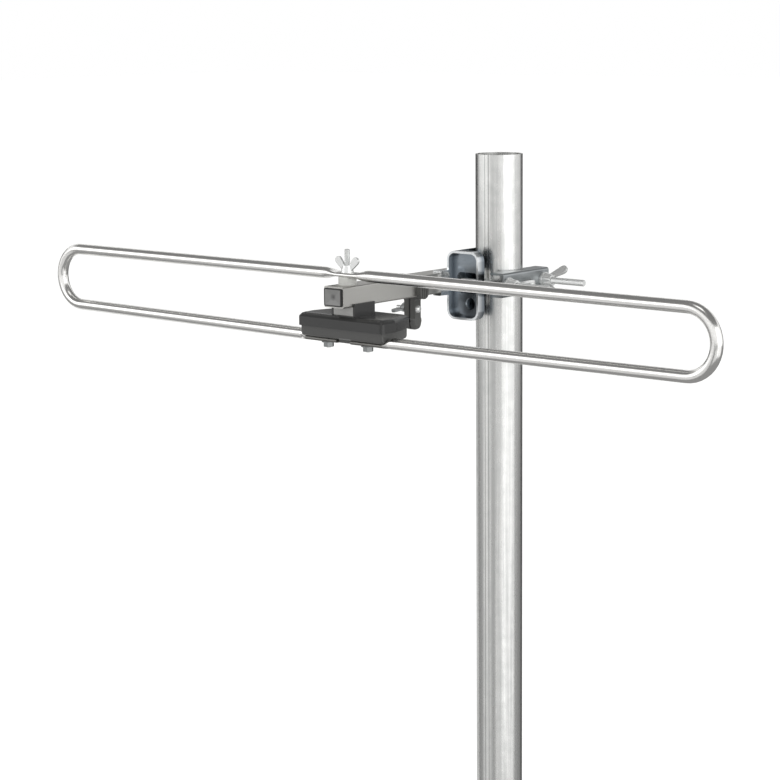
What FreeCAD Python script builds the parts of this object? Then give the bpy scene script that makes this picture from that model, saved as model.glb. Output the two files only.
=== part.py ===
import FreeCAD, Part
import math
import os

V = FreeCAD.Vector

# Outdoor antenna for digital radio: one folded dipole on a short boom, clamped to a mast.
# The object stands on the mast's foot: +Z runs up the mast, +X along the dipole, and the
# boom runs from the dipole in +Y towards the mast. The origin is the centre of the mast's
# foot. Sizes are in millimetres.
# The pieces are drawn about the boom's own axis, at the point where the dipole crosses it,
# and are set down in the object's frame when they are written out.

# Mast: galvanised steel tube.
MAST_D = 42.0
MAST_WALL = 2.0
MAST_LENGTH = 640.0
BOOM_BELOW_TOP = 112.0       # from the mast's top down to the boom's axis
REACH = 165.0               # from the dipole's plane back to the mast's axis

# Folded dipole: one aluminium tube, bent to a long loop.
TUBE_D = 10.0
TUBE_WALL = 1.5
END_SPAN = 680.0             # between the centres of the two end bends
BAR_SPACING = 52.8           # between the axes of the two bars at the end bends
SAG = 2.0                    # how far the lower bar is drawn down at the middle
END_RISE = 1.1               # underside of the crushed ends above the round bar's
SLIT = 0.4                   # what is left of the bore where the tube is crushed
CRUSH_HALF = 9.0             # half of the crushed stretch at the middle of the upper bar
CRUSH_RUN = 16.0             # from crushed to round again
CRUSH_STEPS = 6
END_GAP = 8.0                # from the middle to each cut end of the lower bar
END_FLAT = 34.0              # crushed stretch at each cut end
END_RUN = 9.0                # from crushed to round again there
TERMINAL_X = 22.5            # terminal screws each side of the middle

# Boom: rectangular aluminium tube.
BOOM_W = 22.0
BOOM_H = 18.0
BOOM_WALL = 1.5
BOOM_ROUND = 1.5
BOOM_FRONT = 17.6            # boom ahead of the dipole's plane
BOOM_BEHIND_MAST = 38.0      # boom past the mast's axis
PLUG_FACE = 1.6
PLUG_DEPTH = 8.0
PLUG_INSET = 1.3             # the boom's bright edge shows round the plug
PLUG_BORDER = 2.7
PLUG_DISH = 1.2

# Fasteners: nominal diameters, heads across flats, and head heights.
M3, M4, M5, M6 = 2.9, 4.0, 5.0, 6.0
M5_FLATS, M5_HEAD, M5_NUT = 8.0, 3.5, 4.0
M6_FLATS, M6_HEAD = 10.0, 4.0
HOLE_PLAY = 0.25             # radial play of a bolt in a drilled hole
THREAD_FIT = 0.05            # radial play of a bolt in its nut
DIPOLE_BOLT = 60.0
CLAMP_BOLT = 120.0
TERMINAL_BOLT = 14.0
CLIP_BOLT = 24.0
BOLT_CHAMFER = 0.6

# Wing nuts: bore, base, collar top, base height, span, full height, blade and tip radius.
WING_M4 = dict(bore=M4, base=9.0, top=7.0, hub=5.0, span=21.0, height=11.0, blade=1.9, tip=2.9)
WING_M5 = dict(bore=M5, base=11.0, top=8.5, hub=6.5, span=26.0, height=13.5, blade=2.2, tip=3.4)
WING_M6 = dict(bore=M6, base=13.0, top=10.0, hub=8.0, span=33.0, height=17.5, blade=2.6, tip=4.3)
WING_ROOT = 2.2
WING_LIFT = 1.0              # from the seat to the underside of a blade's root

# Pad between the boom and the dipole.
PAD_D = 15.5
PAD_H = 7.0
PAD_EDGE = 0.8

# Terminal box: lid and base shells, wider at the front than at the back.
BOX_W = 96.8
BOX_BACK_W = 80.0
BOX_FRONT = 11.6             # ahead of the dipole's plane
BOX_WAIST = 6.0              # where the sides start to draw in
BOX_BACK = 34.5
BOX_H = 20.9
BOX_CORNER = 4.0
LID_SKIRT = 7.7              # upright part of the lid's edge
SHOULDER_IN = 4.8
LID_WALL = 1.8
LID_ROOF = 2.0
BASE_FIT = 0.2
BASE_WALL = 1.8
BASE_H = 9.6
BASE_ROUND = 3.0
BASE_TONGUE = 2.4
LID_BOSS_D = 14.0
LID_BOSS_H = 2.0             # keeps the bolt's head clear of the lid's inner shoulder
RIB_W = 14.0
RIB_DEPTH = 9.0
RIB_DROP = 3.0
TUBE_PLAY = 0.4              # between the tube and the relief for it under the base
BOARD_BOSS_D = 9.0
BOARD_BOSS_H = 1.5
POST_D = 6.5
LID_SCREW = 15.0
LID_SCREW_HEAD_D = 5.4
LID_SCREW_HEAD = 1.8
POSTS = ((38.5, 13.5), (35.0, 26.0))

# Saddle on the lid that carries the boom, with its filling block.
SADDLE_FRONT = 6.0
SADDLE_BACK = 20.0
SADDLE_CHEEK = 2.0
SADDLE_LIP = 3.0
SADDLE_FIT = 0.1

# Balance transformer inside the box.
BOARD_W = 62.0
BOARD_FRONT = 3.8
BOARD_BACK = 16.0
BOARD_T = 1.6
CORE_D = 14.0
CORE_BORE = 7.0
CORE_H = 5.0
CORE_Y = 8.0
WIRE_D = 0.8
WIRE_PLAY = 0.05
WINDINGS = 8

# Aerial socket at the back of the box.
SOCKET_D = 9.5
SOCKET_BORE = 6.6
SOCKET_OUT = 11.0
SOCKET_FLATS = 11.0
SOCKET_HEX = 3.5
SOCKET_NUT = 2.4
SOCKET_DROP = 11.3           # below the lid's top
SOCKET_PIN = 1.0
SOCKET_PIN_REACH = 4.5
PANEL_W = 17.0

# Cable clip: two jaws that hang under the boom.
CLIP_Y = 85.0                # middle of the clip's necks, behind the dipole's plane
EAR_SHIFT = 2.5              # the near ear stands this far forward of the neck
EAR_W = 11.0
EAR_T = 5.0
EAR_ROUND = 5.0
EAR_GROOVE = 0.5
EAR_GROOVES = 3
CLIP_FIT = 0.15
NECK_W = 8.0
NECK_T = 6.2
JAW_SEAM = 0.2
SHELF_T = 1.7
SHELF_EASE = 3.0             # corner between a neck and its shelf
LOBE_W = 9.8
LOBE_TIP = 3.4               # radius of the lobe's lower end, seen from the side
LOBE_ROUND = 4.0             # radius of its lower corners, seen from the front
JAW_DROP = 30.2              # from the boom's underside to the tip of the lobe
CLIP_BOLT_DROP = 11.6
CABLE_D = 3.6
CABLE_DROP = 22.0
PAN_D = 7.2
PAN_H = 2.7
CLIP_NUT_LEAN = 75.0         # blades from upright

# Mast bracket: pressed zinc-plated sheet.
SHEET = 2.0
WEB_TOP = 28.5
WEB_BOTTOM = 32.3
WEB_BACK = 205.0
WEB_CORNER = 16.0
STRAP_FRONT = 109.0
STRAP_TAB = 7.0
PAN_FRONT = 119.5
PAN_DEPTH = 8.8
PAN_W = 35.3
PAN_CORNER = 8.5
WEB_STEP = 1.2               # the web's edges lie this far inside the pan's
WINDOW_PLAY = 0.2            # between the window and a boom passed through it
WINDOW_ROUND = 4.0
DRAIN_D = 10.5
DRAIN_DROP = 16.5
DRAIN_SHIFT = 3.4
CLAMP_DROP = 0.8             # the clamp bolts' axes below the boom's
CLAMP_PITCH = 52.0           # between the two clamp bolts
MAST_SEAT = 0.2

# Clamp jaw: toothed channel that grips the mast from the far side.
JAW_LENGTH = 66.0
JAW_H = 21.6
JAW_FLANGE = 15.0
JAW_STAND = 9.7              # from the mast's far side out to the jaw's back
JAW_SHEET = 2.0
JAW_CORNER = 2.5
TOOTH_PITCH = 3.4
TOOTH_DEPTH = 1.5
WASHER_T = 1.6
M6_WASHER_D = 14.0
M5_WASHER_D = 12.0
M5_WASHER_T = 1.0
CLAMP_NUT_LEANS = (80.0, 43.0)   # upper blades from upright, towards the boom's back

# Worked out from the sizes above.
CRUSH_T = 2.0 * TUBE_WALL + SLIT
UPPER_Z = BOOM_H / 2.0 + PAD_H + CRUSH_T / 2.0
LOWER_Z = UPPER_Z - BAR_SPACING
LOOP_Z = (UPPER_Z + LOWER_Z) / 2.0
MIDDLE_Z = LOWER_Z - SAG
BOX_FLOOR = MIDDLE_Z - TUBE_D / 2.0 + END_RISE + CRUSH_T
BOX_TOP = BOX_FLOOR + BOX_H
SEAM_Z = BOX_FLOOR + BASE_H
BOOM_BACK = REACH + BOOM_BEHIND_MAST
WEB_X = BOOM_W / 2.0
MAST_X = WEB_X + SHEET + MAST_SEAT + MAST_D / 2.0
SOCKET_Z = BOX_TOP - SOCKET_DROP
BOARD_Z = BOX_FLOOR + BASE_WALL + BOARD_BOSS_H
BASE_INSET = LID_WALL + BASE_FIT
WEB_MID = (WEB_TOP - WEB_BOTTOM) / 2.0
JAW_OUT = MAST_X + MAST_D / 2.0 + JAW_STAND
BOOM_HEIGHT = MAST_LENGTH - BOOM_BELOW_TOP
PLACE = V(-MAST_X, -REACH, BOOM_HEIGHT)


def cylinder(diameter, length, start, way):
    """A round bar from a start point along a direction."""
    return Part.makeCylinder(diameter / 2.0, length, start, way)


def block(low, high):
    """A square-edged block between its lowest and highest corners."""
    size = high - low
    return Part.makeBox(size.x, size.y, size.z, low)


def joined(shapes):
    """Several solids fused into one."""
    return shapes[0].multiFuse(shapes[1:])


def hexagon(flats, height, start, way):
    """A six-sided bar of a size across its flats, from a start point along +Z, +X or +Y."""
    corner = flats / math.sqrt(3.0)
    angles = [math.radians(60.0 * i) for i in range(7)]
    flat = [V(corner * math.cos(a), corner * math.sin(a), 0) for a in angles]
    bar = Part.Face(Part.makePolygon(flat)).extrude(V(0, 0, height))
    return turned(bar, way).translated(start)


def turned(shape, way):
    """A shape drawn along +Z, turned to point along another direction."""
    return laid(shape, V(0, 0, 0), FreeCAD.Rotation(V(0, 0, 1), way))


def laid(shape, start, turn):
    """A copy of a shape, turned about the origin and then moved to a start point."""
    copy = shape.copy()
    copy.Placement = FreeCAD.Placement(start, turn).multiply(shape.Placement)
    return copy


def rounded(points, radius, level=0.0):
    """Closed outline in the XY plane: straight sides joined by tangent arcs of one radius.

    At each corner the arc starts radius x tan(half the turn) before the corner, and its
    middle lies on the line that halves the corner.
    """
    edges = []
    arcs = []
    count = len(points)
    for i in range(count):
        corner = V(points[i][0], points[i][1], level)
        back = V(points[i - 1][0], points[i - 1][1], level) - corner
        ahead = V(points[(i + 1) % count][0], points[(i + 1) % count][1], level) - corner
        back.normalize()
        ahead.normalize()
        half = back.getAngle(ahead) / 2.0
        run = radius / math.tan(half)
        middle = back + ahead
        middle.normalize()
        middle = corner + middle * (radius / math.sin(half) - radius)
        arcs.append((corner + back * run, middle, corner + ahead * run))
    for i in range(count):
        edges.append(Part.Arc(*arcs[i]).toShape())
        edges.append(Part.makeLine(arcs[i][2], arcs[(i + 1) % count][0]))
    return Part.Wire(edges)


def rectangle(low_x, high_x, low_y, high_y):
    """The four corners of a rectangle, anticlockwise."""
    return [(low_x, low_y), (high_x, low_y), (high_x, high_y), (low_x, high_y)]


def prism(wire, height):
    """A flat outline drawn up along +Z."""
    return Part.Face(wire).extrude(V(0, 0, height))


def along_x(shape, x):
    """A shape drawn in XY and up Z, laid so that X, Y, Z become Y, Z, X."""
    return laid(shape, V(x, 0, 0), FreeCAD.Rotation(V(1, 1, 1), 120))


def along_y(shape, y):
    """A shape drawn in XY and up Z, laid so that X stays, Y becomes Z and Z becomes -Y."""
    return laid(shape, V(0, y, 0), FreeCAD.Rotation(V(1, 0, 0), 90))


def hex_bolt(diameter, length, flats, head):
    """Bolt along +Z with its head under z = 0 and a chamfered end."""
    shank = cylinder(diameter, length, V(0, 0, 0), V(0, 0, 1))
    shank = shank.makeChamfer(BOLT_CHAMFER, [top_edge(shank)])
    return joined([hexagon(flats, head, V(0, 0, -head), V(0, 0, 1)), shank])


def top_edge(shape):
    """The round edge of a shape that lies highest."""
    rounds = [e for e in shape.Edges if e.isClosed()]
    return max(rounds, key=lambda e: e.BoundBox.ZMax)


def capsule(x1, z1, r1, x2, z2, r2):
    """Outline in the XZ plane round two discs of unlike size and their outer tangents."""
    angle = math.atan2(z2 - z1, x2 - x1)
    lean = math.acos((r1 - r2) / math.hypot(x2 - x1, z2 - z1))

    def rim(x, z, r, a):
        return V(x + r * math.cos(a), 0, z + r * math.sin(a))
    up, down = angle + lean, angle - lean
    sides = [
        Part.makeLine(rim(x1, z1, r1, up), rim(x2, z2, r2, up)),
        Part.Arc(rim(x2, z2, r2, up), rim(x2, z2, r2, angle), rim(x2, z2, r2, down)).toShape(),
        Part.makeLine(rim(x2, z2, r2, down), rim(x1, z1, r1, down)),
        Part.Arc(rim(x1, z1, r1, down), rim(x1, z1, r1, angle + math.pi),
                 rim(x1, z1, r1, up)).toShape(),
    ]
    return Part.Wire(sides)


def wing_nut(kind):
    """Wing nut along +Z, seated at z = 0: a tapered hub with two blades that flare up and out."""
    hub = Part.makeCone(kind["base"] / 2.0, kind["top"] / 2.0, kind["hub"])
    root_x = kind["top"] / 2.0 - WING_ROOT / 2.0
    root_z = WING_ROOT + WING_LIFT
    tip_x = kind["span"] / 2.0 - kind["tip"]
    tip_z = kind["height"] - kind["tip"]
    outline = capsule(root_x, root_z, WING_ROOT, tip_x, tip_z, kind["tip"])
    blade = Part.Face(outline).extrude(V(0, kind["blade"], 0))
    blade.translate(V(0, -kind["blade"] / 2.0, 0))
    other = blade.mirror(V(0, 0, 0), V(1, 0, 0))
    bore = cylinder(kind["bore"] + 2 * THREAD_FIT, kind["height"], V(0, 0, 0), V(0, 0, 1))
    return joined([hub, blade, other]).cut(bore)


def oval(width, thickness, flatness, x, z):
    """Section of the tube at x, as four arcs: a circle when round, two flats when crushed.

    The corners between the sides and the flats swing from 45 degrees on the round tube
    towards 90 degrees on the crushed one.
    """
    corner = math.radians(45.0 + 35.0 * flatness)
    shift = (width - thickness) / 2.0
    cy = shift + thickness / 2.0 * math.cos(corner)
    cz = thickness / 2.0 * math.sin(corner)

    def arc(a, b, c):
        return Part.Arc(V(x, a[0], z + a[1]), V(x, b[0], z + b[1]), V(x, c[0], z + c[1])).toShape()
    return Part.Wire([
        arc((-cy, cz), (0, thickness / 2.0), (cy, cz)),
        arc((cy, cz), (width / 2.0, 0), (cy, -cz)),
        arc((cy, -cz), (0, -thickness / 2.0), (-cy, -cz)),
        arc((-cy, -cz), (-width / 2.0, 0), (-cy, cz)),
    ])


def crushed(stations, inset):
    """The tube between stations of (x, flatness, height of its middle), less an inset all round.

    A crushed tube keeps the length of its skin, so it widens as it gets thinner.
    """
    wires = []
    for x, flatness, z in stations:
        thickness = TUBE_D - (TUBE_D - CRUSH_T) * flatness
        width = thickness + math.pi * (TUBE_D - thickness) / 2.0
        wires.append(oval(width - 2 * inset, thickness - 2 * inset, flatness, x, z))
    return Part.makeLoft(wires, True, True)


def eased(start, length):
    """Stations along a crushing run, from crushed to round: (distance, flatness)."""
    stations = []
    for i in range(CRUSH_STEPS + 1):
        t = i / CRUSH_STEPS
        stations.append((start + length * t, 1.0 - t * t * (3.0 - 2.0 * t)))
    return stations


def end_stations(cut_end):
    """The lower bar from a cut end out to the bend.

    It is crushed towards its underside, then round, and rises by the sag to the bend.
    """
    drop = (TUBE_D - CRUSH_T) / 2.0 - END_RISE
    runs = [(cut_end, 1.0)] + eased(END_GAP + END_FLAT, END_RUN)
    stations = [(x, flatness, MIDDLE_Z - drop * flatness) for x, flatness in runs]
    return stations + [(END_SPAN / 2.0, 0.0, LOWER_Z)]


def middle_stations():
    """The upper bar's middle, from round on one side through crushed to round on the other."""
    half = [(x, flatness, UPPER_Z) for x, flatness in eased(CRUSH_HALF, CRUSH_RUN)]
    return [(-x, flatness, z) for x, flatness, z in reversed(half)] + half


def loop_shape(inset):
    """The whole bent tube, drawn a given depth under its skin: 0 is outside, the wall is its bore."""
    pieces = [crushed(middle_stations(), inset)]
    side = [crushed(end_stations(END_GAP - inset), inset)]
    radius = TUBE_D / 2.0 - inset
    half = END_SPAN / 2.0
    upper_start = CRUSH_HALF + CRUSH_RUN
    side.append(cylinder(2 * radius, half - upper_start, V(upper_start, 0, UPPER_Z), V(1, 0, 0)))
    ring = Part.Face(Part.Wire(Part.makeCircle(radius, V(half, 0, UPPER_Z), V(1, 0, 0))))
    side.append(ring.revolve(V(half, 0, LOOP_Z), V(0, 1, 0), 180))
    for piece in side:
        pieces.append(piece)
        pieces.append(piece.mirror(V(0, 0, 0), V(1, 0, 0)))
    return joined(pieces)


def dipole():
    """The folded dipole: bent, crushed flat at the middle and the two ends, and drilled there."""
    tube = loop_shape(0.0).cut(loop_shape(TUBE_WALL))
    hole = M5 + 2 * HOLE_PLAY
    drills = [cylinder(hole, TUBE_D, V(0, 0, UPPER_Z - TUBE_D / 2.0), V(0, 0, 1))]
    for side in (-1, 1):
        drills.append(cylinder(hole, TUBE_D, V(side * TERMINAL_X, 0, MIDDLE_Z - TUBE_D), V(0, 0, 1)))
    return tube.cut(drills)


def boom():
    """The boom's rectangular tube, drilled for the dipole's bolt and the two clamp bolts."""
    length = BOOM_FRONT + BOOM_BACK
    half_w, half_h = BOOM_W / 2.0, BOOM_H / 2.0
    outer = prism(rounded(rectangle(-half_w, half_w, -half_h, half_h), BOOM_ROUND), length)
    wall = BOOM_WALL
    inner = prism(rounded(rectangle(wall - half_w, half_w - wall, wall - half_h, half_h - wall),
                          BOOM_ROUND / 2.0), length)
    tube = along_y(outer.cut(inner), BOOM_BACK)
    drills = [cylinder(M5 + 2 * HOLE_PLAY, 2 * BOOM_H, V(0, 0, -BOOM_H), V(0, 0, 1))]
    for y in clamp_rows():
        drills.append(cylinder(M6 + 2 * HOLE_PLAY, 2 * BOOM_W, V(-BOOM_W, y, -CLAMP_DROP),
                               V(1, 0, 0)))
    return tube.cut(drills)


def clamp_rows():
    """Where the two clamp bolts cross the boom, one each side of the mast."""
    return (REACH - CLAMP_PITCH / 2.0, REACH + CLAMP_PITCH / 2.0)


def boom_plug():
    """End plug, drawn with its face at y = 0 looking towards -Y and its stub behind it."""
    half_w, half_h = BOOM_W / 2.0, BOOM_H / 2.0
    face_w, face_h = half_w - PLUG_INSET, half_h - PLUG_INSET
    face = prism(rounded(rectangle(-face_w, face_w, -face_h, face_h), BOOM_ROUND), PLUG_FACE)
    edge = BOOM_WALL + THREAD_FIT
    stub_outline = rectangle(edge - half_w, half_w - edge, edge - half_h, half_h - edge)
    stub = prism(rounded(stub_outline, BOOM_ROUND / 2.0), PLUG_FACE + PLUG_DEPTH)
    hollow_edge = edge + BOOM_WALL
    hollow_outline = rectangle(hollow_edge - half_w, half_w - hollow_edge,
                               hollow_edge - half_h, half_h - hollow_edge)
    hollow = prism(rounded(hollow_outline, BOOM_ROUND / 2.0), PLUG_DEPTH)
    hollow.translate(V(0, 0, PLUG_FACE))
    low_w, low_h = half_w - PLUG_BORDER, half_h - PLUG_BORDER
    rim = Part.makePolygon([V(x, y, 0) for x, y in rectangle(-low_w, low_w, -low_h, low_h)]
                           + [V(-low_w, -low_h, 0)])
    tip = Part.makePolygon([V(x / 8.0, y / 8.0, PLUG_DISH) for x, y in
                            rectangle(-low_w, low_w, -low_h, low_h)]
                           + [V(-low_w / 8.0, -low_h / 8.0, PLUG_DISH)])
    dish = Part.makeLoft([rim, tip], True, True)
    plug = joined([face, stub]).cut([hollow, dish])
    return laid(plug, V(0, 0, 0), FreeCAD.Rotation(V(1, 0, 0), -90))


def front_plug():
    """Plug in the boom's front end."""
    return boom_plug().translated(V(0, -BOOM_FRONT - PLUG_FACE, 0))


def back_plug():
    """The same plug, turned round in the boom's back end."""
    plug = boom_plug()
    plug.rotate(V(0, 0, 0), V(0, 0, 1), 180)
    return plug.translated(V(0, BOOM_BACK + PLUG_FACE, 0))


def dipole_pad():
    """Translucent insulating pad between the boom and the crushed middle of the dipole."""
    start = V(0, 0, BOOM_H / 2.0)
    pad = cylinder(PAD_D, PAD_H, start, V(0, 0, 1))
    pad = pad.makeChamfer(PAD_EDGE, [top_edge(pad)])
    return pad.cut(cylinder(M5 + 2 * HOLE_PLAY, PAD_H, start, V(0, 0, 1)))


def dipole_bolt():
    """Long bolt from inside the box, up through lid, saddle, boom, pad and dipole."""
    bolt = hex_bolt(M5, DIPOLE_BOLT, M5_FLATS, M5_HEAD)
    return bolt.translated(V(0, 0, BOX_TOP - LID_ROOF - LID_BOSS_H))


def dipole_wing_nut():
    """Wing nut on top of the dipole, its blades in line with the dipole."""
    return wing_nut(WING_M5).translated(V(0, 0, UPPER_Z + CRUSH_T / 2.0))


def box_corners(inset):
    """Plan of the box, drawn in by an inset: straight front part, then sides that draw in."""
    half, back_half = BOX_W / 2.0, BOX_BACK_W / 2.0
    plan = [(-half, -BOX_FRONT), (half, -BOX_FRONT), (half, BOX_WAIST),
            (back_half, BOX_BACK), (-back_half, BOX_BACK), (-half, BOX_WAIST)]
    corners = []
    count = len(plan)
    for i in range(count):
        here = V(plan[i][0], plan[i][1], 0)
        before = here - V(plan[i - 1][0], plan[i - 1][1], 0)
        after = V(plan[(i + 1) % count][0], plan[(i + 1) % count][1], 0) - here
        n1 = V(-before.y, before.x, 0).normalize()
        n2 = V(-after.y, after.x, 0).normalize()
        moved = here + (n1 + n2) * (inset / (1.0 + n1.dot(n2)))
        corners.append((moved.x, moved.y))
    return corners


def box_outline(inset, level):
    """The box's outline at a level, with its corners rounded less as it is drawn in."""
    return rounded(box_corners(inset), max(BOX_CORNER - inset, 1.0), level)


def stack(levels, extra):
    """A solid through outlines given as (inset, level), all drawn in by something extra."""
    return Part.makeLoft([box_outline(inset + extra, z) for inset, z in levels], True, True)


def lid_levels():
    """The lid's side view: upright skirt, short round, sloping shoulder and flat top."""
    top_of_skirt = SEAM_Z + LID_SKIRT
    rise = BOX_TOP - top_of_skirt
    return [(0.0, SEAM_Z), (0.0, top_of_skirt), (0.1 * SHOULDER_IN, top_of_skirt + 0.2 * rise),
            (0.6 * SHOULDER_IN, top_of_skirt + 0.8 * rise), (SHOULDER_IN, BOX_TOP)]


def box_lid():
    """Lid shell of the terminal box, with its saddle cheeks and the boss round the bolt."""
    levels = lid_levels()
    outer = stack(levels, 0.0)
    lowered = [(inset, z - LID_ROOF) for inset, z in levels[1:]]
    lowered.insert(0, (0.0, SEAM_Z - LID_ROOF))
    shell = outer.cut(stack(lowered, LID_WALL))
    boss = cylinder(LID_BOSS_D, LID_BOSS_H + LID_ROOF / 2.0,
                    V(0, 0, BOX_TOP - LID_ROOF - LID_BOSS_H), V(0, 0, 1))
    parts = [shell, boss]
    for x, y in post_places():
        parts.append(cylinder(POST_D, BOX_TOP - LID_ROOF / 2.0 - SEAM_Z, V(x, y, SEAM_Z),
                              V(0, 0, 1)).common(outer))
    for side in (-1, 1):
        inner = BOOM_W / 2.0 + SADDLE_FIT
        near, far = sorted((side * inner, side * (inner + SADDLE_CHEEK)))
        parts.append(block(V(near, -SADDLE_FRONT, BOX_TOP - LID_ROOF / 2.0),
                           V(far, SADDLE_BACK, -BOOM_H / 2.0 + SADDLE_LIP)))
    lid = joined(parts)
    cuts = [cylinder(M5 + 2 * HOLE_PLAY, BOX_H, V(0, 0, BOX_FLOOR + BASE_H), V(0, 0, 1))]
    for x, y in post_places():
        cuts.append(cylinder(M3 + 2 * THREAD_FIT, LID_SCREW, V(x, y, BOX_FLOOR), V(0, 0, 1)))
    notch = PANEL_W / 2.0 + BASE_FIT
    cuts.append(block(V(-notch, BOX_BACK - 2 * BASE_INSET - BASE_WALL, SEAM_Z - 1.0),
                      V(notch, BOX_BACK + 1.0, panel_top() + BASE_FIT)))
    return lid.cut(cuts)


def panel_top():
    """Top of the upright panel that carries the aerial socket."""
    return SOCKET_Z + SOCKET_FLATS / math.sqrt(3.0) + 1.0


def post_places():
    """Plan positions of the four screw posts."""
    return [(side * x, y) for x, y in POSTS for side in (-1, 1)]


def base_levels(floor, radius):
    """The base's side view: a floor that turns up through a quarter round into upright walls."""
    levels = []
    for angle in (90.0, 60.0, 30.0, 0.0):
        a = math.radians(angle)
        levels.append((radius * (1.0 - math.cos(a)), floor + radius * (1.0 - math.sin(a))))
    levels[0] = (radius, floor)
    levels.append((0.0, SEAM_Z + BASE_TONGUE))
    return levels


def box_base():
    """Base shell with rounded bottom edges, socket panel, posts, bosses and insulating rib."""
    outer = stack(base_levels(BOX_FLOOR, BASE_ROUND), BASE_INSET)
    inner = stack(base_levels(BOX_FLOOR + BASE_WALL, BASE_ROUND - BASE_WALL), BASE_INSET + BASE_WALL)
    parts = [outer.cut(inner)]
    back = BOX_BACK - BASE_INSET
    parts.append(block(V(-PANEL_W / 2.0, back - BASE_WALL, SEAM_Z - BASE_WALL),
                       V(PANEL_W / 2.0, back, panel_top())))
    floor = BOX_FLOOR + BASE_WALL / 2.0
    for side in (-1, 1):
        parts.append(cylinder(BOARD_BOSS_D, BOARD_Z - floor, V(side * TERMINAL_X, 0, floor),
                              V(0, 0, 1)))
    for x, y in post_places():
        parts.append(cylinder(POST_D, SEAM_Z - floor, V(x, y, floor), V(0, 0, 1)))
    parts.append(block(V(-RIB_W / 2.0, -RIB_DEPTH / 2.0, BOX_FLOOR - RIB_DROP),
                       V(RIB_W / 2.0, RIB_DEPTH / 2.0, floor)))
    base = joined(parts)
    relief = crushed(end_stations(END_GAP + END_FLAT - END_RUN / 3.0), -TUBE_PLAY)
    cuts = []
    for side in (-1, 1):
        cuts.append(cylinder(M5 + 2 * HOLE_PLAY, BOX_H, V(side * TERMINAL_X, 0, BOX_FLOOR - 1),
                             V(0, 0, 1)))
        cuts.append(relief if side > 0 else relief.mirror(V(0, 0, 0), V(1, 0, 0)))
    for x, y in post_places():
        cuts.append(cylinder(M3 + 2 * HOLE_PLAY, BOX_H, V(x, y, BOX_FLOOR - 1), V(0, 0, 1)))
        cuts.append(cylinder(LID_SCREW_HEAD_D + 2 * HOLE_PLAY, LID_SCREW_HEAD + 1.0,
                             V(x, y, BOX_FLOOR - 1), V(0, 0, 1)))
    cuts.append(cylinder(SOCKET_D + 2 * THREAD_FIT, 3 * BASE_WALL,
                         V(0, back - 2 * BASE_WALL, SOCKET_Z), V(0, 1, 0)))
    return base.cut(cuts)


def lid_screws():
    """Four screws that hold the lid down from under the base."""
    screws = []
    for x, y in post_places():
        start = V(x, y, BOX_FLOOR)
        head = cylinder(LID_SCREW_HEAD_D, LID_SCREW_HEAD, start, V(0, 0, 1))
        slot = block(start + V(-LID_SCREW_HEAD_D, -0.5, 0), start + V(LID_SCREW_HEAD_D, 0.5, 0.8))
        shank = cylinder(M3, LID_SCREW, start, V(0, 0, 1))
        screws.append(joined([head, shank]).cut(slot))
    return Part.makeCompound(screws)


def saddle_block():
    """Pale block that fills the saddle between the lid's cheeks, under the boom."""
    half = BOOM_W / 2.0
    body = block(V(-half, -SADDLE_FRONT, BOX_TOP), V(half, SADDLE_BACK, -BOOM_H / 2.0))
    return body.cut(cylinder(M5 + 2 * HOLE_PLAY, BOX_H, V(0, 0, BOX_TOP - 1.0), V(0, 0, 1)))


def terminal_bolts():
    """Two bolts that hold the dipole's ends to the base and to the board."""
    bolts = []
    for side in (-1, 1):
        bolt = turned(hex_bolt(M5, TERMINAL_BOLT, M5_FLATS, M5_HEAD), V(0, 0, -1))
        bolts.append(bolt.translated(V(side * TERMINAL_X, 0, BOARD_Z + BOARD_T)))
    return Part.makeCompound(bolts)


def ring(outer, inner, thickness, start, way):
    """A flat washer."""
    disc = cylinder(outer, thickness, start, way)
    return disc.cut(cylinder(inner, thickness, start, way))


def terminal_washers():
    """Two wide washers under the dipole's crushed ends."""
    level = BOX_FLOOR - CRUSH_T - M5_WASHER_T
    return Part.makeCompound([ring(M5_WASHER_D, M5 + 2 * HOLE_PLAY, M5_WASHER_T,
                                   V(side * TERMINAL_X, 0, level), V(0, 0, 1))
                              for side in (-1, 1)])


def terminal_nuts():
    """Two hexagon nuts under the washers."""
    nuts = []
    level = BOX_FLOOR - CRUSH_T - M5_WASHER_T - M5_NUT
    for side in (-1, 1):
        start = V(side * TERMINAL_X, 0, level)
        nut = hexagon(M5_FLATS, M5_NUT, start, V(0, 0, 1))
        nuts.append(nut.cut(cylinder(M5 + 2 * THREAD_FIT, M5_NUT, start, V(0, 0, 1))))
    return Part.makeCompound(nuts)


def balun_board():
    """Circuit board on the two bosses, with the terminal bolts through it."""
    half = BOARD_W / 2.0
    board = block(V(-half, -BOARD_FRONT, BOARD_Z), V(half, BOARD_BACK, BOARD_Z + BOARD_T))
    drills = [cylinder(M5 + 2 * HOLE_PLAY, BOX_H, V(side * TERMINAL_X, 0, BOX_FLOOR), V(0, 0, 1))
              for side in (-1, 1)]
    return board.cut(drills)


def balun_core():
    """Ferrite ring of the balance transformer, stood off the board by its windings."""
    level = BOARD_Z + BOARD_T + WIRE_D
    core = ring(CORE_D, CORE_BORE, CORE_H, V(0, CORE_Y, level), V(0, 0, 1))
    return core


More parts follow.
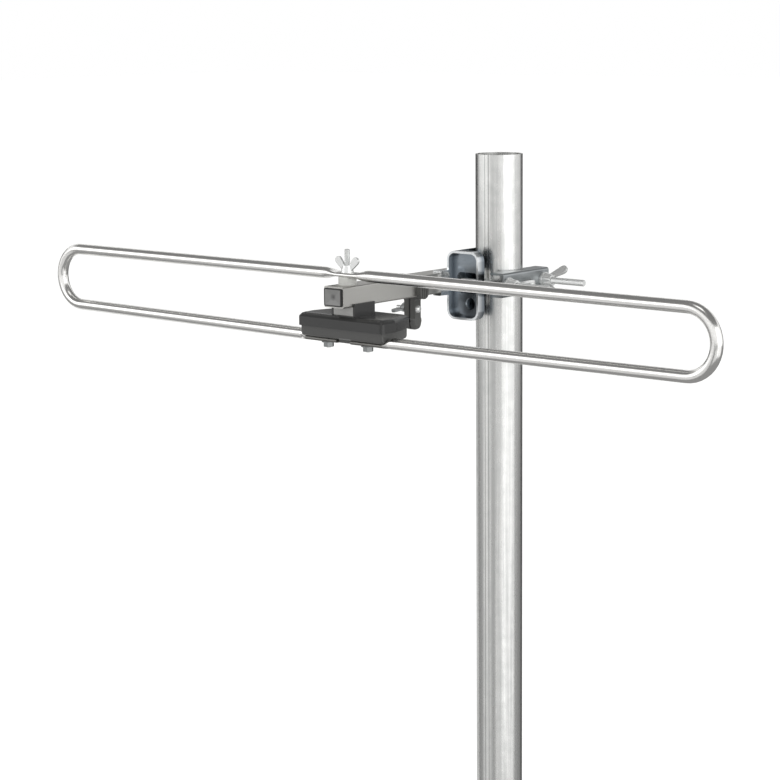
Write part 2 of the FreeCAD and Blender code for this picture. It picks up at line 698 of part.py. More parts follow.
def balun_windings():
    """Turns of enamelled wire, each a closed loop round the ring's section."""
    level = BOARD_Z + BOARD_T
    inner, outer = CORE_BORE / 2.0, CORE_D / 2.0
    window = block(V(inner - WIRE_PLAY, -WIRE_D, level + WIRE_D),
                   V(outer + WIRE_PLAY, WIRE_D, level + WIRE_D + CORE_H))
    turns = []
    for i in range(WINDINGS):
        loop = block(V(inner - WIRE_D, -WIRE_D / 2.0, level),
                     V(outer + WIRE_D, WIRE_D / 2.0, level + 2 * WIRE_D + CORE_H))
        loop = loop.cut(window)
        loop.rotate(V(0, 0, 0), V(0, 0, 1), 360.0 * i / WINDINGS)
        turns.append(loop.translated(V(0, CORE_Y, 0)))
    return Part.makeCompound(turns)


def aerial_socket():
    """Threaded coaxial socket through the back panel, with its hexagon behind the panel."""
    back = BOX_BACK - BASE_INSET
    inside = back - BASE_WALL
    body = cylinder(SOCKET_D, BASE_WALL + SOCKET_OUT + SOCKET_HEX / 2.0,
                    V(0, inside - SOCKET_HEX / 2.0, SOCKET_Z), V(0, 1, 0))
    flange = hexagon(SOCKET_FLATS, SOCKET_HEX, V(0, inside - SOCKET_HEX, SOCKET_Z), V(0, 1, 0))
    bore = cylinder(SOCKET_BORE, SOCKET_OUT + BASE_WALL, V(0, inside, SOCKET_Z), V(0, 1, 0))
    return joined([body, flange]).cut(bore)


def socket_insulator():
    """Plastic core of the socket, with the hole that takes the cable's centre wire."""
    back = BOX_BACK - BASE_INSET
    inside = back - BASE_WALL
    core = cylinder(SOCKET_BORE - 2 * THREAD_FIT, SOCKET_OUT + BASE_WALL - 1.0,
                    V(0, inside, SOCKET_Z), V(0, 1, 0))
    return core.cut(cylinder(2 * SOCKET_PIN, SOCKET_OUT + BASE_WALL,
                             V(0, inside + BASE_WALL, SOCKET_Z), V(0, 1, 0)))


def socket_lead():
    """Bare wire from the back of the socket down to the board."""
    face = BOX_BACK - BASE_INSET - BASE_WALL - SOCKET_HEX
    end = face - SOCKET_PIN_REACH
    bend = 1.5 * SOCKET_PIN
    along = cylinder(SOCKET_PIN, SOCKET_PIN_REACH - bend, V(0, end + bend, SOCKET_Z), V(0, 1, 0))
    level = BOARD_Z + BOARD_T
    down = cylinder(SOCKET_PIN, SOCKET_Z - bend - level, V(0, end, level), V(0, 0, 1))
    section = Part.makeCircle(SOCKET_PIN / 2.0, V(0, end + bend, SOCKET_Z), V(0, 1, 0))
    elbow = Part.Face(Part.Wire(section)).revolve(V(0, end + bend, SOCKET_Z - bend), V(1, 0, 0), 90)
    return joined([along, elbow, down])


def socket_nut():
    """Thin hexagon nut that clamps the socket to the panel."""
    start = V(0, BOX_BACK - BASE_INSET, SOCKET_Z)
    nut = hexagon(SOCKET_FLATS, SOCKET_NUT, start, V(0, 1, 0))
    return nut.cut(cylinder(SOCKET_D + 2 * THREAD_FIT, SOCKET_NUT, start, V(0, 1, 0)))


def clip_jaw():
    """One jaw of the cable clip, on the +X side: ear up the boom, shelf, neck and round lobe.

    The lobe is round seen from the side and from the front. The cable's channel is half in
    this jaw and half in the other.
    """
    under = -BOOM_H / 2.0 - CLIP_FIT
    ear_in = BOOM_W / 2.0 + CLIP_FIT
    ear_out = ear_in + EAR_T
    ear_mid = CLIP_Y - EAR_SHIFT
    front, back = ear_mid - EAR_W / 2.0, ear_mid + EAR_W / 2.0
    ear_outline = rounded(rectangle(front, back, under - SHELF_T, BOOM_H / 2.0), EAR_ROUND)
    ear = along_x(prism(ear_outline, EAR_T), ear_in)
    half_neck, half_lobe = NECK_W / 2.0, LOBE_W / 2.0
    shelf = block(V(JAW_SEAM / 2.0, CLIP_Y - half_neck, under - SHELF_T),
                  V(ear_in + EAR_T / 4.0, CLIP_Y + half_neck, under))
    cable = -BOOM_H / 2.0 - CABLE_DROP
    tip = -BOOM_H / 2.0 - JAW_DROP
    neck = block(V(JAW_SEAM / 2.0, CLIP_Y - half_neck, cable),
                 V(NECK_T, CLIP_Y + half_neck, under - SHELF_T / 2.0))
    side_view = capsule(0, cable, half_lobe, 0, tip + LOBE_TIP, LOBE_TIP)
    lobe = Part.Face(side_view).extrude(V(0, NECK_T - JAW_SEAM / 2.0, 0))
    lobe = laid(lobe, V(NECK_T, CLIP_Y, 0), FreeCAD.Rotation(V(0, 0, 1), 90))
    front_view = rounded(rectangle(-NECK_T, NECK_T, tip, 0), LOBE_ROUND)
    lobe = lobe.common(along_y(prism(front_view, 2 * LOBE_W), CLIP_Y + LOBE_W))
    ease = block(V(NECK_T, CLIP_Y - half_neck, under - SHELF_T - SHELF_EASE),
                 V(NECK_T + SHELF_EASE, CLIP_Y + half_neck, under - SHELF_T / 2.0))
    ease = ease.cut(cylinder(2 * SHELF_EASE, 2 * NECK_W,
                             V(NECK_T + SHELF_EASE, CLIP_Y - NECK_W, under - SHELF_T - SHELF_EASE),
                             V(0, 1, 0)))
    jaw = joined([ear, shelf, neck, lobe, ease])
    cuts = [
        cylinder(M4 + 2 * HOLE_PLAY, 3 * NECK_T, V(-1.0, CLIP_Y, -BOOM_H / 2.0 - CLIP_BOLT_DROP),
                 V(1, 0, 0)),
        cylinder(CABLE_D, 2 * LOBE_W, V(0, CLIP_Y - LOBE_W, cable), V(0, 1, 0)),
    ]
    step = EAR_W / (EAR_GROOVES + 1)
    for i in range(EAR_GROOVES):
        y = front + step * (i + 1)
        cuts.append(block(V(ear_out - EAR_GROOVE, y - step / 6.0, under - SHELF_T - 1.0),
                          V(ear_out + 1.0, y + step / 6.0, BOOM_H / 2.0 + 1.0)))
    return jaw.cut(cuts)


def near_jaw():
    """The jaw on the boom's +X side."""
    return clip_jaw()


def far_jaw():
    """The same moulding turned half round, on the -X side."""
    jaw = clip_jaw()
    jaw.rotate(V(0, CLIP_Y, 0), V(0, 0, 1), 180)
    return jaw


def clip_seat():
    """Where the clip's bolt head bears on the near jaw, on the bolt's axis."""
    return V(NECK_T, CLIP_Y, -BOOM_H / 2.0 - CLIP_BOLT_DROP)


def clip_bolt():
    """Domed screw through both jaws, with a slot across its head."""
    seat = clip_seat()
    shank = cylinder(M4, CLIP_BOLT, V(0, 0, 0), V(0, 0, 1))
    shank = shank.makeChamfer(BOLT_CHAMFER, [top_edge(shank)])
    dome_r = (PAN_D * PAN_D / 4.0 + PAN_H * PAN_H) / (2.0 * PAN_H)
    dome = Part.makeSphere(dome_r, V(0, 0, dome_r - PAN_H))
    dome = dome.common(cylinder(PAN_D, PAN_H, V(0, 0, -PAN_H), V(0, 0, 1)))
    slot = block(V(-PAN_D, -0.6, -PAN_H), V(PAN_D, 0.6, -PAN_H + 1.2))
    screw = joined([dome, shank]).cut(slot)
    return turned(screw, V(-1, 0, 0)).translated(seat)


def clip_wing_nut():
    """Small wing nut on the clip's far side."""
    nut = wing_nut(WING_M4)
    nut.rotate(V(0, 0, 0), V(0, 0, 1), CLIP_NUT_LEAN)
    seat = clip_seat()
    return turned(nut, V(-1, 0, 0)).translated(V(-seat.x, seat.y, seat.z))


def mast_bracket():
    """Zinc-plated bracket: a web along the boom's side, and a pressed pan across its front."""
    low, high = -WEB_BOTTOM, WEB_TOP
    pan_back = PAN_FRONT + PAN_DEPTH
    web_outline = rounded(rectangle(pan_back - 2 * SHEET, WEB_BACK, low + WEB_STEP, high - WEB_STEP),
                          WEB_CORNER)
    web = along_x(prism(web_outline, SHEET), WEB_X)
    pan_outer = rounded(rectangle(WEB_X, WEB_X + PAN_W, low, high), PAN_CORNER)
    pan = prism(pan_outer, PAN_DEPTH)
    pan_inner = rounded(rectangle(WEB_X + SHEET, WEB_X + PAN_W - SHEET, low + SHEET, high - SHEET),
                        PAN_CORNER - SHEET)
    dish = prism(pan_inner, PAN_DEPTH - SHEET).translated(V(0, 0, SHEET))
    pan = along_y(pan.cut(dish), pan_back)
    strap_half = BOOM_H / 2.0 + CLIP_FIT + SHEET
    strap_outline = rounded(rectangle(STRAP_FRONT, pan_back, -strap_half, strap_half), SHEET / 2.0)
    strap = along_x(prism(strap_outline, SHEET), WEB_X)
    parts = [web, pan, strap]
    for side in (-1, 1):
        ends = sorted((side * strap_half, side * (strap_half - SHEET)))
        parts.append(block(V(WEB_X - STRAP_TAB, STRAP_FRONT, ends[0]),
                           V(WEB_X + SHEET / 2.0, PAN_FRONT, ends[1])))
    bracket = joined(parts)
    middle_x = WEB_X + PAN_W / 2.0
    window_w = BOOM_W / 2.0 + WINDOW_PLAY
    window_h = BOOM_H / 2.0 + WINDOW_PLAY
    window = rounded(rectangle(middle_x - window_w, middle_x + window_w, -window_h, window_h),
                     WINDOW_ROUND)
    cuts = [
        along_y(prism(window, 2 * PAN_DEPTH), PAN_FRONT + 2 * PAN_DEPTH),
        cylinder(DRAIN_D, 2 * PAN_DEPTH, V(middle_x + DRAIN_SHIFT, PAN_FRONT,
                                           WEB_MID - DRAIN_DROP), V(0, 1, 0)),
    ]
    for y in clamp_rows():
        cuts.append(cylinder(M6 + 2 * HOLE_PLAY, 4 * SHEET, V(WEB_X - SHEET, y, -CLAMP_DROP),
                             V(1, 0, 0)))
    return bracket.cut(cuts)


def clamp_jaw():
    """Channel with its toothed flange edges towards the mast.

    Each flange edge is hollowed to the mast's round, and its teeth alternate between the
    mast's radius and one tooth deeper, at equal steps along the round.
    """
    half_l, half_h = JAW_LENGTH / 2.0, JAW_H / 2.0
    section = rounded(rectangle(JAW_OUT - JAW_FLANGE - JAW_CORNER, JAW_OUT, -half_h, half_h),
                      JAW_CORNER)
    section_in = rounded(rectangle(JAW_OUT - JAW_FLANGE - 2 * JAW_CORNER, JAW_OUT - JAW_SHEET,
                                   JAW_SHEET - half_h, half_h - JAW_SHEET),
                         JAW_CORNER - JAW_SHEET / 2.0)
    bar = prism(section, JAW_LENGTH).cut(prism(section_in, JAW_LENGTH))
    bar = along_y(bar, REACH + half_l)
    bar = bar.cut(block(V(0, REACH - JAW_LENGTH, -JAW_H),
                        V(JAW_OUT - JAW_FLANGE, REACH + JAW_LENGTH, JAW_H)))
    grip = MAST_D / 2.0 + MAST_SEAT
    reach = JAW_OUT - JAW_FLANGE - MAST_X
    limit = math.acos(reach / (grip + TOOTH_DEPTH))
    count = 2 * int(grip * limit / TOOTH_PITCH)
    points = []
    for i in range(2 * count + 1):
        angle = limit * (i / count - 1.0)
        radius = grip + (0.0 if i % 2 else TOOTH_DEPTH)
        points.append(V(MAST_X + radius * math.cos(angle), REACH + radius * math.sin(angle),
                        -JAW_H))
    points.append(V(MAST_X, REACH, -JAW_H))
    points.append(points[0])
    notch = Part.Face(Part.makePolygon(points)).extrude(V(0, 0, 2 * JAW_H))
    cuts = [notch]
    for y in clamp_rows():
        cuts.append(cylinder(M6 + 2 * HOLE_PLAY, 4 * JAW_SHEET, V(JAW_OUT - 2 * JAW_SHEET, y, 0),
                             V(1, 0, 0)))
    return bar.cut(cuts).translated(V(0, 0, -CLAMP_DROP))


def clamp_bolts():
    """Two long bolts through boom, bracket web and jaw, heads on the boom's far side."""
    bolts = []
    for y in clamp_rows():
        bolt = turned(hex_bolt(M6, CLAMP_BOLT, M6_FLATS, M6_HEAD), V(1, 0, 0))
        bolts.append(bolt.translated(V(-BOOM_W / 2.0, y, -CLAMP_DROP)))
    return Part.makeCompound(bolts)


def clamp_washers():
    """Washers between the jaw and the two wing nuts."""
    return Part.makeCompound([ring(M6_WASHER_D, M6 + 2 * HOLE_PLAY, WASHER_T,
                                   V(JAW_OUT, y, -CLAMP_DROP), V(1, 0, 0))
                              for y in clamp_rows()])


def clamp_wing_nuts():
    """The two wing nuts as the hand left them, each turned its own way."""
    nuts = []
    for y, lean in zip(clamp_rows(), CLAMP_NUT_LEANS):
        nut = wing_nut(WING_M6)
        nut.rotate(V(0, 0, 0), V(0, 0, 1), -lean)
        nuts.append(turned(nut, V(1, 0, 0)).translated(V(JAW_OUT + WASHER_T, y, -CLAMP_DROP)))
    return Part.makeCompound(nuts)


def mast():
    """The mast: plain galvanised tube, open at both ends."""
    start = V(MAST_X, REACH, -BOOM_HEIGHT)
    tube = cylinder(MAST_D, MAST_LENGTH, start, V(0, 0, 1))
    return tube.cut(cylinder(MAST_D - 2 * MAST_WALL, MAST_LENGTH, start, V(0, 0, 1)))


NODES = {
    "dipole_loop": dipole,
    "boom_tube": boom,
    "boom_front_plug": front_plug,
    "boom_back_plug": back_plug,
    "dipole_pad": dipole_pad,
    "dipole_bolt": dipole_bolt,
    "dipole_wing_nut": dipole_wing_nut,
    "box_lid": box_lid,
    "box_base": box_base,
    "lid_screws": lid_screws,
    "saddle_block": saddle_block,
    "terminal_bolts": terminal_bolts,
    "terminal_washers": terminal_washers,
    "terminal_nuts": terminal_nuts,
    "balun_board": balun_board,
    "balun_core": balun_core,
    "balun_windings": balun_windings,
    "aerial_socket": aerial_socket,
    "socket_insulator": socket_insulator,
    "socket_lead": socket_lead,
    "socket_nut": socket_nut,
    "clip_near_jaw": near_jaw,
    "clip_far_jaw": far_jaw,
    "clip_bolt": clip_bolt,
    "clip_wing_nut": clip_wing_nut,
    "mast_bracket": mast_bracket,
    "clamp_jaw": clamp_jaw,
    "clamp_bolts": clamp_bolts,
    "clamp_washers": clamp_washers,
    "clamp_wing_nuts": clamp_wing_nuts,
    "mast": mast,
}

os.makedirs("parts", exist_ok=True)
for name, make in NODES.items():
    shape = make().translated(PLACE)
    shape.exportStep("parts/" + name + ".step")
    solids = shape.Solids
    print("%-18s %2d solids  valid %s  %9.1f mm3" % (name, len(solids), shape.isValid(),
                                                     sum(s.Volume for s in solids)))
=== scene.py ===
import math

import bmesh
import bpy
import numpy as np
from mathutils import Matrix, Vector


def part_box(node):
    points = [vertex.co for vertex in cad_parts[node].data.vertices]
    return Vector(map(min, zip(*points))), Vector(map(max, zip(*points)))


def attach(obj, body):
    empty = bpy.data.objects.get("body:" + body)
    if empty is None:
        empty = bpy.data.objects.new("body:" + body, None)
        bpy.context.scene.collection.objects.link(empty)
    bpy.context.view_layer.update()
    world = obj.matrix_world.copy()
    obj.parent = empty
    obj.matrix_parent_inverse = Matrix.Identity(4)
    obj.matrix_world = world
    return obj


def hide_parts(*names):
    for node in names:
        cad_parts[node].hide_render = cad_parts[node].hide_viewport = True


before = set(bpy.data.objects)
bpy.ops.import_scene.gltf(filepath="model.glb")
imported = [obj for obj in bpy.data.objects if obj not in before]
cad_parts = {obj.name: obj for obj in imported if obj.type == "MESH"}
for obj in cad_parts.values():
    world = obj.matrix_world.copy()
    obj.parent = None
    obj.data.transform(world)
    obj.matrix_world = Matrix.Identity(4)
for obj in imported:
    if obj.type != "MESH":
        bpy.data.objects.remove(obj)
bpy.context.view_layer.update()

# Mast: steel tube, welded along one side, hot-dip galvanised. The zinc runs down it as it
# drains, so it is bright with long soft streaks, a faint crystal bloom, and two dark lines
# where the weld was dressed.
MM = 0.001
STREAK_WIDTH, STREAK_LENGTH = 2.2 * MM, 160.0 * MM
BLOOM = 9.0 * MM
BLOOM_SHARE = 0.3
NOISE_LOW, NOISE_HIGH = 0.35, 0.65      # most of a noise's values lie between these
WELD_TURN = math.radians(-84.0)
WELD_HALF, WELD_LINE = 0.088, 0.030     # radians round the mast
WELD_DARKNESS = 0.75


def srgb(hex_colour):
    """A hex colour as linear red, green, blue and alpha: x/12.92, or ((x+0.055)/1.055)^2.4."""
    parts = np.array([int(hex_colour[i:i + 2], 16) for i in (1, 3, 5)]) / 255.0
    linear = np.where(parts <= 0.04045, parts / 12.92, ((parts + 0.055) / 1.055) ** 2.4)
    return (*linear, 1.0)


def feed(material, node, inputs):
    """Sets numbers and colours on a node's own sockets, and links other nodes' outputs to them."""
    for name, value in inputs.items():
        if isinstance(value, bpy.types.NodeSocket):
            material.node_tree.links.new(value, node.inputs[name])
        else:
            node.inputs[name].default_value = value


def add(material, kind, inputs, **settings):
    """Adds a node: settings are its properties, inputs are numbers, colours or other nodes' outputs."""
    node = material.node_tree.nodes.new(kind)
    for name, value in settings.items():
        setattr(node, name, value)
    feed(material, node, inputs)
    return node


def away(material, value, centre):
    """How far a value is from a centre: |value - centre|."""
    offset = add(material, "ShaderNodeMath", {0: value, 1: centre}, operation="SUBTRACT")
    return add(material, "ShaderNodeMath", {0: offset.outputs[0]}, operation="ABSOLUTE").outputs[0]


def finish_named(name):
    """A new material, and its shader."""
    material = bpy.data.materials.new(name)
    material.use_nodes = True
    return material, material.node_tree.nodes["Principled BSDF"]


def dress(nodes, material):
    """Gives CAD nodes a material in every slot."""
    for node in nodes:
        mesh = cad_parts[node].data
        mesh.materials.clear()
        mesh.materials.append(material)


def galvanised_steel():
    """Galvanised steel: streaks along Z, round blooms, and the two lines of the dressed weld.

    A line is where the turn about the mast's axis is half the weld's width from its middle.
    """
    material, shader = finish_named("galvanised_steel")
    place = add(material, "ShaderNodeTexCoord", {}).outputs["Object"]
    stretched = add(material, "ShaderNodeMapping", {
        "Vector": place, "Scale": (1 / STREAK_WIDTH, 1 / STREAK_WIDTH, 1 / STREAK_LENGTH)})
    streaks = add(material, "ShaderNodeTexNoise", {
        "Vector": stretched.outputs["Vector"], "Scale": 1.0, "Detail": 3.0})
    blooms = add(material, "ShaderNodeTexNoise", {
        "Vector": place, "Scale": 1 / BLOOM, "Detail": 2.0})
    worn = add(material, "ShaderNodeMix", {
        0: BLOOM_SHARE, 2: streaks.outputs[0], 3: blooms.outputs[0]})
    tint = add(material, "ShaderNodeMapRange", {
        "Value": worn.outputs[0], "From Min": NOISE_LOW, "From Max": NOISE_HIGH,
        "To Min": 0.0, "To Max": 1.0})
    zinc = add(material, "ShaderNodeMix", {
        0: tint.outputs[0], 6: srgb("#D3D4D2"), 7: srgb("#EEEEEC")}, data_type="RGBA")
    axes = add(material, "ShaderNodeSeparateXYZ", {0: place})
    turn = add(material, "ShaderNodeMath", {
        0: axes.outputs["Y"], 1: axes.outputs["X"]}, operation="ARCTAN2")
    from_weld = away(material, turn.outputs[0], WELD_TURN)
    line = add(material, "ShaderNodeMapRange", {
        "Value": away(material, from_weld, WELD_HALF), "From Min": 0.0, "From Max": WELD_LINE,
        "To Min": WELD_DARKNESS, "To Max": 0.0})
    colour = add(material, "ShaderNodeMix", {
        0: line.outputs[0], 6: zinc.outputs[2], 7: srgb("#6A6C6A")}, data_type="RGBA")
    rough = add(material, "ShaderNodeMapRange", {
        "Value": worn.outputs[0], "From Min": NOISE_LOW, "From Max": NOISE_HIGH,
        "To Min": 0.34, "To Max": 0.22})
    bump = add(material, "ShaderNodeBump", {
        "Height": worn.outputs[0], "Strength": 0.25, "Distance": 0.15 * MM})
    feed(material, shader, {
        "Base Color": colour.outputs[2], "Roughness": rough.outputs[0],
        "Normal": bump.outputs[0], "Metallic": 1.0})
    return material


dress(["mast"], galvanised_steel())

# Mast bracket and clamp jaw: pressed steel sheet, zinc plated and blue passivated.
# The plating is smooth and slightly cloudy, bluer on the bracket, greyer on the worn jaw.
# Pressing and tumbling round the sheet's edges a little, and those rounds catch the light.
CLOUD = 14.0 * MM
PAN_RIM, PAN_FLOOR = -45.5 * MM, -38.7 * MM
MERGE, SHORT_EDGE = 0.002 * MM, 0.15 * MM
FLAT, SHARP = math.radians(0.5), math.radians(32.0)


def cloudy_zinc(material, dark, light):
    """The colour of zinc plate: two tints mixed by slow clouds."""
    place = add(material, "ShaderNodeTexCoord", {}).outputs["Object"]
    clouds = add(material, "ShaderNodeTexNoise", {"Vector": place, "Scale": 1 / CLOUD})
    return add(material, "ShaderNodeMix", {
        0: clouds.outputs[0], 6: srgb(dark), 7: srgb(light)}, data_type="RGBA").outputs[2]


def sheet_with_painted_light():
    """Blue zinc plate, with painted shade on the pan's floor and a painted highlight towards the pan's
    rim.

    The share of painted highlight falls from 1 to 0 with y, from the pan's rim to its floor.
    """
    material, shader = finish_named("blue_zinc_plate")
    place = add(material, "ShaderNodeTexCoord", {}).outputs["Object"]
    axes = add(material, "ShaderNodeSeparateXYZ", {0: place})
    # Painted highlight towards the pan's rim, painted shade on the pan's floor, set by y.
    bright = add(material, "ShaderNodeMapRange", {
        "Value": axes.outputs["Y"], "From Min": PAN_RIM, "From Max": PAN_FLOOR,
        "To Min": 1.0, "To Max": 0.0})
    colour = add(material, "ShaderNodeMix", {
        0: bright.outputs[0], 6: cloudy_zinc(material, "#7C848B", "#979EA5"),
        7: srgb("#F2F5F7")}, data_type="RGBA")
    feed(material, shader, {"Base Color": colour.outputs[2], "Roughness": 0.20, "Metallic": 1.0})
    return material


def worn_sheet():
    """Zinc plate worn to a cloudy grey, with one even polish."""
    material, shader = finish_named("worn_zinc_plate")
    feed(material, shader, {
        "Base Color": cloudy_zinc(material, "#94989A", "#B2B6B8"), "Roughness": 0.28, "Metallic": 1.0})
    return material


def stand_for(node, name, mesh):
    """A piece of this mesh that rides on the part and replaces a CAD node."""
    piece = bpy.data.objects.new(name, mesh)
    bpy.context.scene.collection.objects.link(piece)
    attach(piece, "root")
    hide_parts(node)
    return piece


def eased_copy(node, material, width):
    """A copy of a CAD node with its sharp edges rounded.

    Points are merged, and flat triangles and the shortest edges are joined, or the rounding tears.
    """
    mesh = bpy.data.meshes.new(node + "_eased")
    work = bmesh.new()
    work.from_mesh(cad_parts[node].data)
    bmesh.ops.remove_doubles(work, verts=work.verts, dist=MERGE)
    bmesh.ops.dissolve_limit(work, angle_limit=FLAT, verts=work.verts, edges=work.edges)
    bmesh.ops.dissolve_degenerate(work, dist=SHORT_EDGE, edges=work.edges)
    work.to_mesh(mesh)
    work.free()
    mesh.materials.clear()
    mesh.materials.append(material)
    mesh.shade_smooth()
    piece = stand_for(node, node + "_eased", mesh)
    rounds = piece.modifiers.new("rounded_edges", "BEVEL")
    rounds.width = width
    rounds.segments = 2
    rounds.limit_method = "ANGLE"
    rounds.angle_limit = SHARP
    piece.modifiers.new("even_shading", "WEIGHTED_NORMAL")


eased_copy("mast_bracket", sheet_with_painted_light(), 0.45 * MM)
eased_copy("clamp_jaw", worn_sheet(), 0.35 * MM)

# Boom: extruded rectangular aluminium tube, left as it came from the die, satin grey.
# Plugs: moulded black polyethylene, pushed into its two ends, their faces drawn pale grey, with painted
# shade round the border and in a dimple.
DIE_LINE, DIE_LENGTH = 0.5 * MM, 60.0 * MM
PAINTED_SHADE_BORDER, PAINTED_SHADE_RAMP = 1.3 * MM, 0.4 * MM
DIMPLE, DIMPLE_PAINTED_SHADE = 3.5 * MM, 0.8


def extruded_aluminium():
    """Mill-finish aluminium: fine die lines along Y change the polish."""
    material, shader = finish_named("extruded_aluminium")
    place = add(material, "ShaderNodeTexCoord", {}).outputs["Object"]
    stretched = add(material, "ShaderNodeMapping", {
        "Vector": place, "Scale": (1 / DIE_LINE, 1 / DIE_LENGTH, 1 / DIE_LINE)})
    lines = add(material, "ShaderNodeTexNoise", {
        "Vector": stretched.outputs["Vector"], "Scale": 1.0, "Detail": 2.0})
    rough = add(material, "ShaderNodeMapRange", {
        "Value": lines.outputs[0], "From Min": 0.3, "From Max": 0.7, "To Min": 0.36, "To Max": 0.46})
    feed(material, shader, {
        "Base Color": srgb("#C4C3BF"), "Roughness": rough.outputs[0], "Metallic": 1.0})
    return material


def moulded(name, colour, roughness, grain=0.6 * MM, depth=0.1, clearness=0.0):
    """Moulded plastic: the mould's fine grain as a bump, and some light through it.

    Its colour is a hex value, or a function of the material that gives a node's output.
    """
    material, shader = finish_named(name)
    place = add(material, "ShaderNodeTexCoord", {}).outputs["Object"]
    grit = add(material, "ShaderNodeTexNoise", {"Vector": place, "Scale": 1 / grain})
    bump = add(material, "ShaderNodeBump", {
        "Height": grit.outputs[0], "Strength": depth, "Distance": 0.05 * MM})
    feed(material, shader, {
        "Base Color": colour(material) if callable(colour) else srgb(colour),
        "Normal": bump.outputs[0], "Roughness": roughness, "IOR": 1.5,
        "Transmission Weight": clearness})
    return material


def middle(node):
    """The middle of a node's box."""
    low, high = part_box(node)
    return [(a + b) / 2 for a, b in zip(low, high)]


def pale_face_with_painted_shade(material):
    """Black polyethylene drawn pale grey, with painted shade in a border round it and in a dimple.

    The share of the border's painted shade runs from 0 to 1 over the ramp, with the larger of
    |x - middle| less half the width and |z - middle| less half the height, plus the border. The
    dimple's painted shade falls to 0 where the distance from the middle reaches the dimple's radius.
    """
    low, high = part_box("boom_front_plug")
    centre = middle("boom_front_plug")
    place = add(material, "ShaderNodeTexCoord", {}).outputs["Object"]
    axes = add(material, "ShaderNodeSeparateXYZ", {0: place})
    aside, inward = {}, []
    for index, axis in ((0, "X"), (2, "Z")):
        aside[axis] = away(material, axes.outputs[axis], centre[index])
        inward.append(add(material, "ShaderNodeMath", {
            0: aside[axis], 1: (high[index] - low[index]) / 2 - PAINTED_SHADE_BORDER},
            operation="SUBTRACT").outputs[0])
    nearest = add(material, "ShaderNodeMath", {0: inward[0], 1: inward[1]}, operation="MAXIMUM")
    # Painted shade in a border round the plug's face.
    black = add(material, "ShaderNodeMapRange", {
        "Value": nearest.outputs[0], "From Min": 0.0, "From Max": PAINTED_SHADE_RAMP,
        "To Min": 0.0, "To Max": 1.0})
    across = add(material, "ShaderNodeCombineXYZ", aside)
    radius = add(material, "ShaderNodeVectorMath", {0: across.outputs[0]}, operation="LENGTH")
    # Painted shade in the dimple, darkest at its middle.
    dimple = add(material, "ShaderNodeMapRange", {
        "Value": radius.outputs["Value"], "From Min": 0.0, "From Max": DIMPLE,
        "To Min": DIMPLE_PAINTED_SHADE, "To Max": 0.0})
    face = add(material, "ShaderNodeMix", {
        0: dimple.outputs[0], 6: srgb("#8E8E8D"), 7: srgb("#3A3A3A")}, data_type="RGBA")
    return add(material, "ShaderNodeMix", {
        0: black.outputs[0], 6: face.outputs[2], 7: srgb("#1E1E1E")}, data_type="RGBA").outputs[2]


eased_copy("boom_tube", extruded_aluminium(), 0.2 * MM)
dress(["boom_front_plug", "boom_back_plug"], moulded("pale_polyethylene_painted_shade", pale_face_with_painted_shade, 0.42))

# Terminal box: lid and base moulded in black ABS with a fine spark-eroded grain, and a
# pale grey nylon block that fills the saddle under the boom.
ERODED_GRAIN, ERODED_DEPTH = 0.5 * MM, 0.12

eased_copy("box_lid",
           moulded("black_abs_lid", "#3A3A3A", 0.22, ERODED_GRAIN, ERODED_DEPTH), 0.45 * MM)
eased_copy("box_base",
           moulded("black_abs_base", "#565655", 0.26, ERODED_GRAIN, ERODED_DEPTH), 0.35 * MM)
eased_copy("saddle_block", moulded("grey_nylon", "#BDBDBB", 0.45), 0.3 * MM)

# Inside the box: glass-epoxy board, sintered ferrite ring, enamelled copper wire.
# At its back: a nickel-plated screw socket with a polyethylene core.
POLISH_CLOUD, POLISH_SPREAD = 4.0 * MM, 0.15


def even_metal(name, colour, roughness, metallic=1.0):
    """Metal of one colour whose polish wanders a little, in clouds."""
    material, shader = finish_named(name)
    place = add(material, "ShaderNodeTexCoord", {}).outputs["Object"]
    clouds = add(material, "ShaderNodeTexNoise", {"Vector": place, "Scale": 1 / POLISH_CLOUD})
    rough = add(material, "ShaderNodeMapRange", {
        "Value": clouds.outputs[0], "From Min": 0.3, "From Max": 0.7,
        "To Min": (1 - POLISH_SPREAD) * roughness, "To Max": (1 + POLISH_SPREAD) * roughness})
    feed(material, shader, {
        "Base Color": srgb(colour), "Roughness": rough.outputs[0], "Metallic": metallic})
    return material


dress(["balun_board"], moulded("glass_epoxy", "#2E6B45", 0.35))
dress(["balun_core"], moulded("ferrite", "#3A3A3C", 0.6))
dress(["balun_windings", "socket_lead"], even_metal("enamelled_copper", "#C0703C", 0.3))
dress(["aerial_socket", "socket_nut"], even_metal("nickel_plate", "#D5D2CA", 0.2))
dress(["socket_insulator"], moulded("socket_polyethylene", "#E2E2DC", 0.4))

# Dipole: drawn aluminium tube, bent and crushed cold. Drawing leaves it bright, with fine
# lines along the tube that are drawn here coarser than they are, so that they show.
# Pad: turned from translucent white nylon.
DRAW_LINE, DRAW_LENGTH = 0.35 * MM, 45.0 * MM
DULL_AND_SHADE_HALF, DULL_AND_SHADE_RAMP, DULL_ROUGHNESS = 43.0 * MM, 6.0 * MM, 0.5


